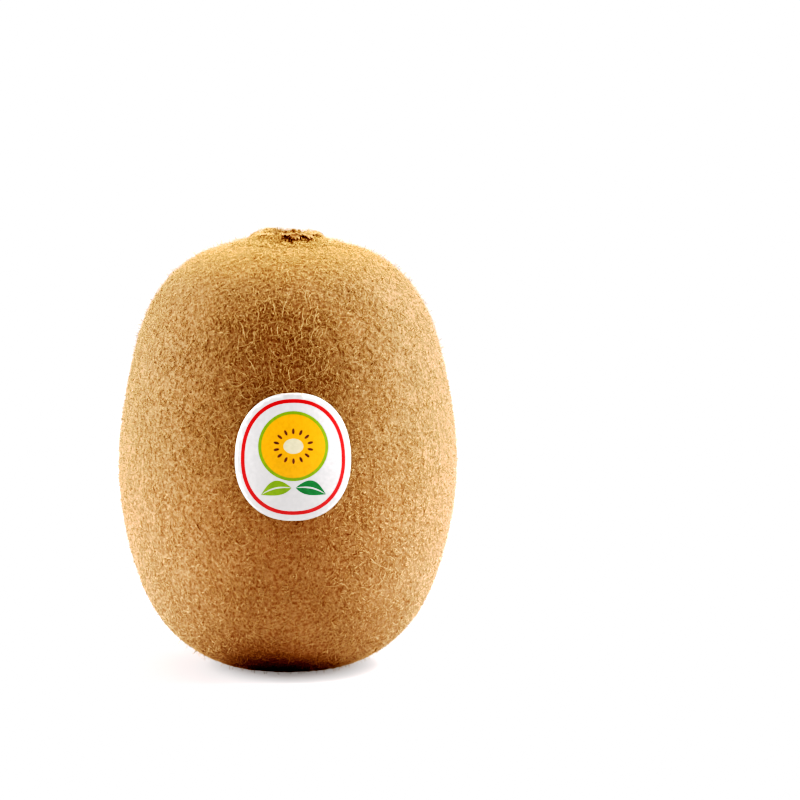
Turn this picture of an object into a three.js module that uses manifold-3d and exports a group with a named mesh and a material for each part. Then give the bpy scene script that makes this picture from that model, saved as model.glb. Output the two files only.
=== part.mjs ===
// A whole golden kiwi fruit, standing on its blossom end, with an oval paper label on its front.
//
// Millimetres, +Z up, front of the fruit towards -Y. The origin is the middle of the flat spot that
// the fruit stands on. The fruit grew as one piece, so it is one solid: an egg-shaped body that is a
// little flatter from front to back than from side to side, with a raised collar, dried sepals and
// the pedicel scar on top, and a dimple with the dried styles underneath. The label is a thin oval
// that follows the skin in front, and is a piece of its own.

import * as THREE from "three";
import { mergeVertices } from "three/addons/utils/BufferGeometryUtils.js";
import Module from "manifold-3d";

// Body: two half ovals that meet at the belly, the lower one cut off by the ground.
const WIDTH = 52.6;
const DEPTH = 50.2;
const BELLY_HEIGHT = 31.5; // where the fruit is widest
const UPPER_RISE = 36; // from the belly to where the upper oval meets the axis
const LOWER_DROP = 32.2; // from the belly to where the lower oval would meet the axis
const UPPER_OVAL = { alongAxis: 2.45, across: 2.95 }; // exponents: 2 is an ellipse, more is boxier
const LOWER_OVAL = { alongAxis: 2.4, across: 2.55 };

// How far the skin swells and hollows: the waves round the fruit, each with its number to a turn, the
// turn it starts at, how far it leans with height and its strength, and a fuller band at the belly.
const SWELL_WAVES = [
  { number: 2, start: 0.7, lean: 0, strength: 0.15 },
  { number: 3, start: -0.9, lean: 0.033, strength: 0.105 },
  { number: 5, start: 1.3, lean: -0.056, strength: 0.075 },
];
const BARREL = { swell: 0.4, height: 32, wave: 36 };
const SWELL_FADE = 0.7; // exponent: less is fuller towards the ends

// Stem end: a collar round a shallow pit, with the scar of the stalk in the middle of the pit, and
// the dried remains of the sepals on the collar's rim.
const COLLAR = { foot: 6.5, rim: 4.4, rise: 1.2 };
const COLLAR_WAVES = [
  { number: 2, start: -0.8, strength: 0.14 },
  { number: 3, start: 0.5, strength: 0.084 },
];
const PIT = { wall: 3.2, depth: 0.9 };
const SCAR = { radius: 2.2, flat: 1.54, rise: 0.55 };
const SEPAL_COUNT = 6;
const SEPAL = { root: 2.6, length: 2.9, width: 3.3, thickness: 0.6, rootDepth: 0.03 };
const SEPAL_FORM = { corner: 5, taper: 0.2, cupping: 0.25, curl: 0.4, tilt: 0.08 };
const SEPAL_TIP = { ragged: 0.1, notches: 5 };
const SEPAL_SPREAD = { length: [0.6, 1.05], width: [0.6, 1.1], turn: [0, 0.5] };

// Blossom end: a dimple in the middle of the flat spot, with the dried styles lying in it.
const DIMPLE = { radius: 3.4, floor: 0.5, depth: 1.7 };
const STYLE_COUNT = 9;
const STYLE = { length: 2.5, root: 0.42, tip: 0.2, start: -0.15, rootDepth: 0.25, droop: 0.15 };
const STYLE_SPREAD = { droop: [0.6, 1.2], turn: [0, 0.6] };

// Label: an oval as wide and high as this along the skin, its middle a little right of centre.
const LABEL = { width: 17.6, height: 19.4, middleX: 1.5, middleZ: 36.5, thickness: 0.25, gap: 0.12 };
const LABEL_CORNER = 2.25; // exponent of the outline: 2 is an ellipse

// How finely the surfaces are cut into facets.
const MERIDIANS = 64;
const SIDE_RINGS = 30;
const CROWN_RINGS = 15;
const DIMPLE_RINGS = 4;
const LABEL_RINGS = 7;
const LABEL_SPOKES = 56;
const SEPAL_SPOKES = 16;
const SEPAL_RINGS = 8;
const STYLE_SIDES = 5;
const WELD = 1e-4; // corners closer together than this are one corner

const SEED = 20;

const wasm = await Module();
wasm.setup();

// A repeatable stream of numbers from 0 to 1.
function randomStream(seed) {
  let state = seed;
  return () => {
    state = (state + 0x6d2b79f5) | 0;
    let mixed = Math.imul(state ^ (state >>> 15), 1 | state);
    mixed = (mixed + Math.imul(mixed ^ (mixed >>> 7), 61 | mixed)) ^ mixed;
    return ((mixed ^ (mixed >>> 14)) >>> 0) / 4294967296;
  };
}

const smooth = (from, to, value) => THREE.MathUtils.smoothstep(value, from, to);
const pick = ([low, high], random) => THREE.MathUtils.lerp(low, high, random());

// Radius of the body at a height, as a share of the radius at the belly.
function sideShare(z) {
  const above = z > BELLY_HEIGHT;
  const oval = above ? UPPER_OVAL : LOWER_OVAL;
  const reach = above ? UPPER_RISE : LOWER_DROP;
  const along = Math.min(Math.abs(z - BELLY_HEIGHT) / reach, 1);
  return (1 - along ** oval.alongAxis) ** (1 / oval.across);
}

// Height of the shoulder at a share of the belly's radius: the upper oval read the other way.
function shoulderHeight(share) {
  return BELLY_HEIGHT + UPPER_RISE * (1 - share ** UPPER_OVAL.across) ** (1 / UPPER_OVAL.alongAxis);
}

// What the collar, pit and scar add to the shoulder at a radius in millimetres.
function crownRelief(radius) {
  const collar = COLLAR.rise * (1 - smooth(COLLAR.rim, COLLAR.foot, radius));
  const pit = PIT.depth * (1 - smooth(PIT.wall, COLLAR.rim, radius));
  const scar = SCAR.rise * (1 - smooth(SCAR.flat, SCAR.radius, radius));
  return collar - pit + scar;
}

// How far the skin stands out of the ovals, which fades to nothing at both ends.
function swell(turn, z) {
  const height = THREE.MathUtils.clamp(z / (BELLY_HEIGHT + UPPER_RISE), 0, 1);
  let out = BARREL.swell * Math.cos((2 * Math.PI * (z - BARREL.height)) / BARREL.wave);
  for (const wave of SWELL_WAVES) {
    out += wave.strength * Math.cos(wave.number * turn + wave.start + wave.lean * z);
  }
  return Math.sin(Math.PI * height) ** SWELL_FADE * out;
}

// The point of the body at a turn about the axis, a share of the belly's radius and a height.
// Turn 0 is the front.
function bodyPoint(turn, share, z) {
  const out = swell(turn, z) * share;
  const x = Math.sin(turn) * (share * (WIDTH / 2) + out);
  const y = -Math.cos(turn) * (share * (DEPTH / 2) + out);
  return new THREE.Vector3(x, y, z);
}

// A point lifted off the side of the body along its normal.
function abovePoint(turn, z, lift) {
  const step = 0.01;
  const here = bodyPoint(turn, sideShare(z), z);
  const round = bodyPoint(turn + step, sideShare(z), z).sub(here);
  const up = bodyPoint(turn, sideShare(z + step), z + step).sub(here);
  return here.addScaledVector(round.cross(up).normalize(), lift);
}

// Bends a closed lathe of (radius, height) points with a function of its turn, radius and height,
// and returns it with its shared corners merged.
function bentLathe(profile, segments, bend) {
  const geometry = new THREE.LatheGeometry(profile, segments);
  const position = geometry.getAttribute("position");
  for (let i = 0; i < position.count; i++) {
    const across = position.getX(i);
    const along = position.getZ(i);
    const point = bend(Math.atan2(across, along), Math.hypot(across, along), position.getY(i));
    position.setXYZ(i, point.x, point.y, point.z);
  }
  geometry.deleteAttribute("normal");
  geometry.deleteAttribute("uv");
  return mergeVertices(geometry, WELD);
}

function toSolid(geometry) {
  const merged = geometry.clone();
  merged.deleteAttribute("normal");
  merged.deleteAttribute("uv");
  const closed = mergeVertices(merged, WELD);
  const vertProperties = new Float32Array(closed.getAttribute("position").array);
  const triVerts = new Uint32Array(closed.index.array);
  return new wasm.Manifold(new wasm.Mesh({ numProp: 3, vertProperties, triVerts }));
}

function toGeometry(solid) {
  const mesh = solid.getMesh();
  const geometry = new THREE.BufferGeometry();
  geometry.setAttribute("position", new THREE.BufferAttribute(mesh.vertProperties, 3));
  geometry.setIndex(new THREE.BufferAttribute(mesh.triVerts, 1));
  geometry.computeVertexNormals();
  return geometry;
}

// The body's outline from the floor of the dimple, round the side, to the scar on top.
function bodyProfile() {
  const belly = WIDTH / 2;
  const points = [];
  for (let i = 0; i < DIMPLE_RINGS; i++) {
    const radius = (DIMPLE.radius * i) / DIMPLE_RINGS;
    const z = DIMPLE.depth * (1 - smooth(DIMPLE.floor, DIMPLE.radius, radius));
    points.push(new THREE.Vector2(radius, z));
  }
  const spot = sideShare(0) * belly;
  points.push(new THREE.Vector2(DIMPLE.radius, 0));
  points.push(new THREE.Vector2((DIMPLE.radius + spot) / 2, 0));
  points.push(new THREE.Vector2(spot, 0));
  const shoulder = (COLLAR.foot + 1) / belly;
  const top = shoulderHeight(shoulder);
  for (let i = 1; i <= SIDE_RINGS; i++) {
    const angle = Math.PI * (i / SIDE_RINGS);
    const z = (top * (1 - Math.cos(angle))) / 2;
    points.push(new THREE.Vector2(sideShare(z) * belly, z));
  }
  for (let i = 1; i <= CROWN_RINGS; i++) {
    const radius = shoulder * belly * (1 - i / CROWN_RINGS);
    points.push(new THREE.Vector2(radius, shoulderHeight(radius / belly) + crownRelief(radius)));
  }
  return points;
}

function makeBody() {
  return bentLathe(bodyProfile(), MERIDIANS, (turn, radius, height) => {
    const onCrown = height > BELLY_HEIGHT ? 1 - smooth(COLLAR.rim, COLLAR.foot, radius) : 0;
    let z = height;
    for (const wave of COLLAR_WAVES) {
      const sway = wave.strength * Math.cos(wave.number * turn + wave.start);
      z += sway * onCrown * smooth(0, PIT.wall, radius);
    }
    return bodyPoint(turn, radius / (WIDTH / 2), z);
  });
}

// How far an oval of the given corner exponent reaches, as a share of a circle, in a direction.
function ovalReach(across, up, corner) {
  return (Math.abs(across) ** corner + Math.abs(up) ** corner) ** (-1 / corner);
}

// One dried sepal: a thin blunt flap along +X from its root at the origin, with a ragged tip that
// curls up and edges that bend down over the rim.
function makeSepal(random) {
  const flap = new THREE.SphereGeometry(1, SEPAL_SPOKES, SEPAL_RINGS);
  flap.rotateX(Math.PI / 2);
  const position = flap.getAttribute("position");
  const phase = 2 * Math.PI * random();
  const curl = SEPAL_FORM.curl * random();
  for (let i = 0; i < position.count; i++) {
    const angle = Math.atan2(position.getY(i), position.getX(i));
    const reach = ovalReach(Math.cos(angle), Math.sin(angle), SEPAL_FORM.corner);
    const side = position.getY(i) * reach;
    const tip = (1 + position.getX(i) * reach) / 2;
    const along = tip * (1 + SEPAL_TIP.ragged * Math.cos(SEPAL_TIP.notches * side + phase));
    const bend = curl * along ** 2 - SEPAL_FORM.cupping * side ** 2;
    const x = along * SEPAL.length;
    const y = (side * (1 - SEPAL_FORM.taper * along) * SEPAL.width) / 2;
    position.setXYZ(i, x, y, (position.getZ(i) * SEPAL.thickness) / 2 + bend);
  }
  return flap;
}

// The sepals lie round the pit on the collar's rim, each rooted inside the collar. Some are longer
// than others, where less of them has broken off.
function addSepals(body) {
  const random = randomStream(SEED);
  const rimHeight = shoulderHeight(COLLAR.rim / (WIDTH / 2)) + COLLAR.rise;
  for (let i = 0; i < SEPAL_COUNT; i++) {
    const flap = makeSepal(random);
    flap.rotateY(SEPAL_FORM.tilt * (1 - 2 * random()));
    flap.scale(pick(SEPAL_SPREAD.length, random), pick(SEPAL_SPREAD.width, random), 1);
    flap.translate(SEPAL.root, 0, rimHeight - SEPAL.rootDepth);
    flap.rotateZ(((i + pick(SEPAL_SPREAD.turn, random)) / SEPAL_COUNT) * 2 * Math.PI);
    body = body.add(toSolid(flap));
  }
  return body;
}

// The dried styles: short bristles that lie in the dimple and fan out from its middle.
function addStyles(body) {
  const random = randomStream(SEED + 1);
  for (let i = 0; i < STYLE_COUNT; i++) {
    const bristle = new THREE.CylinderGeometry(STYLE.tip, STYLE.root, STYLE.length, STYLE_SIDES);
    bristle.translate(0, STYLE.length / 2, 0);
    bristle.rotateZ(-Math.PI / 2);
    bristle.rotateY(STYLE.droop * pick(STYLE_SPREAD.droop, random));
    bristle.translate(STYLE.start, 0, DIMPLE.depth - STYLE.rootDepth);
    bristle.rotateZ(((i + pick(STYLE_SPREAD.turn, random)) / STYLE_COUNT) * 2 * Math.PI);
    body = body.add(toSolid(bristle));
  }
  return body;
}

// The largest body of a joined solid: small hollows that the joining sealed are filled.
function outerBody(solid) {
  return solid.decompose().reduce((a, b) => (a.volume() > b.volume() ? a : b));
}

function makeFruit() {
  return toGeometry(outerBody(addStyles(addSepals(toSolid(makeBody())))));
}

// The label: a coin of unit radius whose rings are stretched to the oval and laid on the skin.
function makeLabel() {
  const coin = [];
  for (let i = 0; i <= LABEL_RINGS; i++) {
    coin.push(new THREE.Vector2(i / LABEL_RINGS, 0));
  }
  for (let i = LABEL_RINGS; i >= 0; i--) {
    coin.push(new THREE.Vector2(i / LABEL_RINGS, 1));
  }
  return bentLathe(coin, LABEL_SPOKES, (angle, radius, level) => {
    const across = Math.cos(angle);
    const up = Math.sin(angle);
    const reach = radius * ovalReach(across, up, LABEL_CORNER);
    const x = LABEL.middleX + reach * across * (LABEL.width / 2);
    const z = LABEL.middleZ + reach * up * (LABEL.height / 2);
    return abovePoint(x / (WIDTH / 2), z, LABEL.gap + level * LABEL.thickness);
  });
}

function namedMesh(name, geometry, color, roughness) {
  const material = new THREE.MeshStandardMaterial({ color, roughness, metalness: 0 });
  const mesh = new THREE.Mesh(geometry, material);
  mesh.name = name;
  return mesh;
}

const kiwi = new THREE.Group();
kiwi.add(namedMesh("fruit", makeFruit(), 0xa8753c, 0.9));
kiwi.add(namedMesh("label", makeLabel(), 0xf4f2ee, 0.4));

export default kiwi;
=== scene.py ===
"""Dresses the golden kiwi fruit: its skin, hairs, stem end, blossom end and printed label.

The fruit's own measures below are in millimetres, with +Z up, the front towards -Y and the origin
in the middle of the flat spot that the fruit stands on. Meshes are made from them in metres.
"""

import math

import bpy
import numpy as np
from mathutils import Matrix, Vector, geometry


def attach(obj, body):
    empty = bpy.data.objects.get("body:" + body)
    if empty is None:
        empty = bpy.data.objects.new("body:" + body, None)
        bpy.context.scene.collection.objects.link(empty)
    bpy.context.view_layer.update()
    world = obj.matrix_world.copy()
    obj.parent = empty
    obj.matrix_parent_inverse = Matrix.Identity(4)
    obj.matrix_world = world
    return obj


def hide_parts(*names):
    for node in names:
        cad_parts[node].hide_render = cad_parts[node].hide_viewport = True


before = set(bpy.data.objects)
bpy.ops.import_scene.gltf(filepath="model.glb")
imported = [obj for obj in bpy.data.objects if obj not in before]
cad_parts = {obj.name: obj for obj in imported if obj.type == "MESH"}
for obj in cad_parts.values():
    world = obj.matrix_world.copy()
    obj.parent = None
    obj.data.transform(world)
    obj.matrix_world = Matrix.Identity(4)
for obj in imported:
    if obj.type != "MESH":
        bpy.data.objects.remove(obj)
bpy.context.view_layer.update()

MM = 0.001
TURN = 2 * math.pi

# Body: two half ovals that meet at the belly, the lower one cut off by the ground.
WIDTH = 52.6
DEPTH = 50.2
BELLY = WIDTH / 2
BELLY_HEIGHT = 31.5
UPPER_RISE = 36.0
LOWER_DROP = 32.2
UPPER_OVAL = {"along": 2.45, "across": 2.95}
LOWER_OVAL = {"along": 2.4, "across": 2.55}

# How far the skin swells and hollows: waves round the fruit, as number to a turn, start, lean with
# height and strength, and a fuller band at the belly.
SWELL_WAVES = ((2, 0.7, 0, 0.15), (3, -0.9, 0.033, 0.105), (5, 1.3, -0.056, 0.075))
BARREL = {"swell": 0.4, "height": 32, "wave": 36}
SWELL_FADE = 0.7

# Stem end and blossom end.
COLLAR = {"foot": 6.5, "rim": 4.4, "rise": 1.2, "fur": 3}
COLLAR_WAVES = ((2, -0.8, 0.14), (3, 0.5, 0.084))
PIT = {"wall": 3.2, "depth": 0.9}
BARE_RIM = {"turn": 0.42, "half_width": 1.0, "reach": 0.7, "past_wall": 0.3, "fade": 0.8}
SCAR = {"radius": 2.2, "flat": 1.54, "rise": 0.55}
DIMPLE = {"radius": 3.4, "floor": 0.5, "depth": 1.7, "margin": 3}

# Painted shade where the fruit's foot meets the floor, round the blossom end and set a little to the
# front of the axis: its middle and half sizes in metres, and the shares of those at which it starts
# to fade and at which it has gone.
PAINTED_FOOT_SHADE = {
    "middle": (-0.0015, -0.006, -0.001),
    "half": (0.01, 0.016, 0.009),
    "limits": (0.4, 1.3),
    "shades": [(0.0, "#908884"), (0.3, "#B4ACA8"), (0.6, "#DEDAD8"), (1.0, "#FFFFFF")],
}

# How the fuzz and skin are shaded between two heights in metres: painted light makes them paler
# towards the foot, as light from the floor would, painted shade makes them duller from the belly up,
# and round the stem end they are a little more golden.
PAINTED_HEIGHT_LIGHT = {
    "limits": (8 * MM, 66 * MM),
    "shades": [
        (0.0, "#F6F2F8"),
        (0.3, "#F6F0F4"),
        (0.5, "#E6E4E6"),
        (0.72, "#DAD8DA"),
        (0.92, "#D4D0CE"),
        (1.0, "#DED4C4"),
    ],
}

# Label: an oval laid on the skin in front, with its middle and half sizes across and up.
LABEL = {"middle": (1.5, 36.5), "half": (8.8, 9.7), "corner": 2.25}
PAPER = {"under": 0.2, "top": 0.34, "cockle": 0.03, "cockle_size": 5, "seed": 9}

random = np.random.default_rng(20)
speck_random = np.random.default_rng(21)


# -------- the fruit's form


def smooth(start, end, value):
    share = np.clip((value - start) / (end - start), 0, 1)
    return share * share * (3 - 2 * share)


def side_share(z):
    """Radius of the body at a height, as a share of the radius at the belly."""
    above = z > BELLY_HEIGHT
    reach = np.where(above, UPPER_RISE, LOWER_DROP)
    along = np.where(above, UPPER_OVAL["along"], LOWER_OVAL["along"])
    across = np.where(above, UPPER_OVAL["across"], LOWER_OVAL["across"])
    part = np.minimum(np.abs(z - BELLY_HEIGHT) / reach, 1)
    return (1 - part**along) ** (1 / across)


def shoulder_height(share):
    """Height of the shoulder at a share of the belly's radius."""
    rest = 1 - share ** UPPER_OVAL["across"]
    return BELLY_HEIGHT + UPPER_RISE * rest ** (1 / UPPER_OVAL["along"])


def crown_relief(radius):
    """What the collar, pit and scar add to the shoulder."""
    collar = COLLAR["rise"] * (1 - smooth(COLLAR["rim"], COLLAR["foot"], radius))
    pit = PIT["depth"] * (1 - smooth(PIT["wall"], COLLAR["rim"], radius))
    scar = SCAR["rise"] * (1 - smooth(SCAR["flat"], SCAR["radius"], radius))
    return collar - pit + scar


def swell(turn, z):
    """How far the skin stands out of the ovals, which fades to nothing at both ends."""
    height = np.clip(z / (BELLY_HEIGHT + UPPER_RISE), 0, 1)
    out = BARREL["swell"] * np.cos(TURN * (z - BARREL["height"]) / BARREL["wave"])
    for number, start, lean, strength in SWELL_WAVES:
        out = out + strength * np.cos(number * turn + start + lean * z)
    return np.sin(math.pi * height) ** SWELL_FADE * out


def body_point(turn, radius, z):
    """The point at a turn about the axis (0 is the front), a nominal radius and a height."""
    on_crown = np.where(z > BELLY_HEIGHT, 1 - smooth(COLLAR["rim"], COLLAR["foot"], radius), 0)
    sway = sum(strength * np.cos(number * turn + start) for number, start, strength in COLLAR_WAVES)
    lifted = z + sway * on_crown * smooth(0, PIT["wall"], radius)
    share = radius / BELLY
    out = swell(turn, lifted) * share
    x = np.sin(turn) * (share * BELLY + out)
    y = -np.cos(turn) * (share * DEPTH / 2 + out)
    return np.stack([x, y, lifted + 0 * x], axis=-1)


# How many points the outline has in each part, and how far out from the collar the crown begins.
OUTLINE_POINTS = {"dimple": 30, "ground": 20, "side": 400, "crown": 160}
CROWN_MARGIN = 1


def make_outline():
    """The body's outline from the dimple's floor, round the side, to the scar on top, as radius,
    height and the run along it."""
    dimple = np.linspace(0, DIMPLE["radius"], OUTLINE_POINTS["dimple"])
    radius = [dimple]
    height = [DIMPLE["depth"] * (1 - smooth(DIMPLE["floor"], DIMPLE["radius"], dimple))]
    spot = float(side_share(np.array(0.0))) * BELLY
    ring = np.linspace(DIMPLE["radius"], spot, OUTLINE_POINTS["ground"])[1:]
    radius.append(ring)
    height.append(0 * ring)
    foot = (COLLAR["foot"] + CROWN_MARGIN) / BELLY
    angle = np.linspace(0, math.pi, OUTLINE_POINTS["side"])[1:]
    side = shoulder_height(foot) * (1 - np.cos(angle)) / 2
    radius.append(side_share(side) * BELLY)
    height.append(side)
    crown = foot * BELLY * np.linspace(1, 0, OUTLINE_POINTS["crown"])[1:]
    radius.append(crown)
    height.append(shoulder_height(crown / BELLY) + crown_relief(crown))
    radius = np.concatenate(radius)
    height = np.concatenate(height)
    run = np.concatenate([[0], np.cumsum(np.hypot(np.diff(radius), np.diff(height)))])
    return radius, height, run


OUTLINE_RADIUS, OUTLINE_HEIGHT, OUTLINE_RUN = make_outline()
FULL_RUN = OUTLINE_RUN[-1]


def run_of_height(z):
    """The run along the outline where its side reaches a height."""
    side = OUTLINE_RUN > DIMPLE["radius"] + DIMPLE["margin"]
    return np.interp(z, OUTLINE_HEIGHT[side], OUTLINE_RUN[side])


def unit(vectors):
    """The vectors at length one."""
    return vectors / np.maximum(np.linalg.norm(vectors, axis=-1, keepdims=True), 1e-9)


def skin_at(turn, run):
    """The point of the skin at a turn and a run along the outline, and the normal there, from the
    slopes along and around, measured over small steps."""
    step_along, step_round, narrow = 0.05, 0.01, 1e-3

    def point(t, r):
        radius = np.interp(r, OUTLINE_RUN, OUTLINE_RADIUS)
        return body_point(t, radius, np.interp(r, OUTLINE_RUN, OUTLINE_HEIGHT))

    here = point(turn, run)
    further, nearer = np.minimum(run + step_along, FULL_RUN), np.maximum(run - step_along, 0)
    ahead = point(turn, further) - point(turn, nearer)
    turned = point(turn + step_round, run) - point(turn - step_round, run)
    wide = np.linalg.norm(turned, axis=-1, keepdims=True) > narrow
    on_axis = np.stack([np.cos(turn), np.sin(turn), 0 * turn], axis=-1)
    return here, unit(np.cross(np.where(wide, turned, on_axis), ahead))


def bare_share(points):
    """1 where the stem end is bare and woody, in the pit and on the front of the collar's rim."""
    radius = np.hypot(points[..., 0], points[..., 1])
    turn = np.arctan2(points[..., 0], -points[..., 1])
    front = np.clip(1 - np.abs(turn - BARE_RIM["turn"]) / BARE_RIM["half_width"], 0, 1)
    edge = PIT["wall"] + BARE_RIM["past_wall"] + BARE_RIM["reach"] * smooth(0, 0.5, front)
    on_top = points[..., 2] > BELLY_HEIGHT
    return on_top * (1 - smooth(edge, edge + BARE_RIM["fade"], radius))


def slow_waves(points, size, seed):
    """A smooth random value from about -1 to 1, whose patches are about as wide as the size, as the
    sum of waves that run in all directions."""
    waves, lengths, strongest = 12, (0.6, 1.4), 4
    stream = np.random.default_rng(seed)
    directions = unit(stream.normal(0, 1, (waves, 3)))
    directions *= stream.uniform(*lengths, (waves, 1)) * math.pi / size
    phases = stream.uniform(0, TURN, waves)
    return np.cos(points @ directions.T + phases).sum(axis=-1) / strongest


# -------- meshes


def mesh_piece(name, points, faces, *materials, **stored):
    """A mesh object from points in millimetres, with its materials and the values that it stores
    for them at its points."""
    mesh = bpy.data.meshes.new(name)
    faces = np.asarray(faces, np.int32)
    mesh.vertices.add(len(points))
    mesh.vertices.foreach_set("co", (np.asarray(points) * MM).astype(np.float32).ravel())
    mesh.loops.add(faces.size)
    mesh.loops.foreach_set("vertex_index", faces.ravel())
    mesh.polygons.add(len(faces))
    mesh.polygons.foreach_set("loop_start", np.arange(0, faces.size, faces.shape[1], dtype=np.int32))
    mesh.polygons.foreach_set("use_smooth", np.ones(len(faces), bool))
    mesh.update(calc_edges=True)
    for material in materials:
        mesh.materials.append(material)
    for label, values in stored.items():
        attribute = mesh.attributes.new(label, "FLOAT", "POINT")
        attribute.data.foreach_set("value", np.asarray(values, np.float32).ravel())
    piece = bpy.data.objects.new(name, mesh)
    bpy.context.scene.collection.objects.link(piece)
    return piece


def grid_faces(rows, columns, closed=False):
    """Triangles of a grid of points that lie row after row; closed rows join end to end."""
    column = np.arange(columns if closed else columns - 1)
    beside = (column + 1) % columns
    faces = []
    for row in range(rows - 1):
        low, high = row * columns, (row + 1) * columns
        faces.append(np.stack([low + column, low + beside, high + beside], axis=1))
        faces.append(np.stack([low + column, high + beside, high + column], axis=1))
    return np.concatenate(faces)


def closed_sheet(below, above, faces):
    """A sheet with its two sides at the given points, walled along its open edges."""
    faces = np.asarray(faces)
    count = len(below)
    edges = np.concatenate([faces[:, [0, 1]], faces[:, [1, 2]], faces[:, [2, 0]]])
    pairs = {tuple(edge) for edge in edges}
    rim = np.array([edge for edge in edges if (edge[1], edge[0]) not in pairs])
    walls = [
        np.stack([rim[:, 0], rim[:, 1], rim[:, 1] + count], axis=1),
        np.stack([rim[:, 0], rim[:, 1] + count, rim[:, 0] + count], axis=1),
    ]
    return np.concatenate([below, above]), np.concatenate([faces[:, ::-1], faces + count, *walls])


def joined(meshes):
    """Several meshes, as points and faces, made one."""
    starts = np.cumsum([0] + [len(points) for points, _ in meshes])
    faces = [part + start for (_, part), start in zip(meshes, starts)]
    return np.concatenate([points for points, _ in meshes]), np.concatenate(faces)


# -------- materials


def linear(hex_colour):
    """An sRGB hex colour as linear red, green, blue and alpha."""
    parts = [int(hex_colour[i : i + 2], 16) / 255 for i in (1, 3, 5)]
    bright = [c / 12.92 if c <= 0.04045 else ((c + 0.055) / 1.055) ** 2.4 for c in parts]
    return (*bright, 1.0)


def add_node(tree, kind, settings=None, links=None, stops=None):
    """A node of a kind, with its settings (attributes or input values), the links into it and, where
    it is a colour ramp, its stops as (place, hex colour)."""
    node = tree.nodes.new(kind)
    for name, value in (settings or {}).items():
        if isinstance(name, str) and hasattr(node, name):
            setattr(node, name, value)
        else:
            node.inputs[name].default_value = value
    for name, source in (links or {}).items():
        tree.links.new(source, node.inputs[name])
    if stops:
        elements = node.color_ramp.elements
        while len(elements) < len(stops):
            elements.new(0.5)
        for element, (place, colour) in zip(elements, stops):
            element.position = place
            element.color = linear(colour)
    return node


def new_material(name, **all_over):
    """A material, its nodes, its shader and the place in space that its patterns go by. What is the
    same all over the surface, such as its roughness, is set on the shader's own sockets, where an
    underscore in a name stands for a space."""
    material = bpy.data.materials.new(name)
    material.use_nodes = True
    tree = material.node_tree
    shader = tree.nodes["Principled BSDF"]
    for socket, value in all_over.items():
        shader.inputs[socket.replace("_", " ")].default_value = value
    return material, tree, shader, add_node(tree, "ShaderNodeTexCoord").outputs["Object"]


def mottled(tree, place, size_mm, detail, *stops):
    """A colour that goes between the stops in patches of about so many millimetres, and the value
    that it goes by."""
    settings = {"Scale": 1 / (size_mm * MM), "Detail": detail}
    value = add_node(tree, "ShaderNodeTexNoise", settings, {"Vector": place}).outputs["Fac"]
    ramp = add_node(tree, "ShaderNodeValToRGB", links={"Fac": value}, stops=stops)
    return ramp.outputs["Color"], value


def by_stored(tree, name, stops):
    """The colour that goes by a value stored on the mesh."""
    value = add_node(tree, "ShaderNodeAttribute", {"attribute_name": name}).outputs["Fac"]
    ramp = add_node(tree, "ShaderNodeValToRGB", links={"Fac": value}, stops=stops)
    return ramp.outputs["Color"]


def shaded(tree, colour, shades):
    """A colour darkened by each of the shades."""
    settings = {"data_type": "RGBA", "blend_type": "MULTIPLY", 0: 1.0}
    for shade in shades:
        colour = add_node(tree, "ShaderNodeMix", settings, {6: colour, 7: shade}).outputs[2]
    return colour


def shade_by(tree, value, low, high, shades):
    """The shade that a value gives, with the first one up to the low limit and the last one from
    the high limit on."""
    limits = {"From Min": low, "From Max": high}
    share = add_node(tree, "ShaderNodeMapRange", limits, {"Value": value}).outputs["Result"]
    ramp = add_node(tree, "ShaderNodeValToRGB", links={"Fac": share}, stops=shades)
    return ramp.outputs["Color"]


def painted_shades(tree, place):
    """The painted shade round the blossom end, white away from it, and the painted light and shade at
    each height."""
    maths = "ShaderNodeVectorMath"
    away = add_node(tree, maths, {"operation": "SUBTRACT", 1: PAINTED_FOOT_SHADE["middle"]}, {0: place})
    half = {"operation": "DIVIDE", 1: PAINTED_FOOT_SHADE["half"]}
    scaled = add_node(tree, maths, half, {0: away.outputs[0]})
    length = add_node(tree, maths, {"operation": "LENGTH"}, {0: scaled.outputs[0]}).outputs["Value"]
    height = add_node(tree, "ShaderNodeSeparateXYZ", links={"Vector": place}).outputs["Z"]
    return [
        shade_by(tree, length, *PAINTED_FOOT_SHADE["limits"], PAINTED_FOOT_SHADE["shades"]),
        shade_by(tree, height, *PAINTED_HEIGHT_LIGHT["limits"], PAINTED_HEIGHT_LIGHT["shades"]),
    ]


def cover(tree, shader, colour, relief=None, strength=0.5, depth_mm=0.1):
    """Gives the shader its colour, and a fine relief where there is one."""
    tree.links.new(colour, shader.inputs["Base Color"])
    if relief:
        settings = {"Strength": strength, "Distance": depth_mm * MM}
        bump = add_node(tree, "ShaderNodeBump", settings, {"Height": relief})
        tree.links.new(bump.outputs["Normal"], shader.inputs["Normal"])


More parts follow.
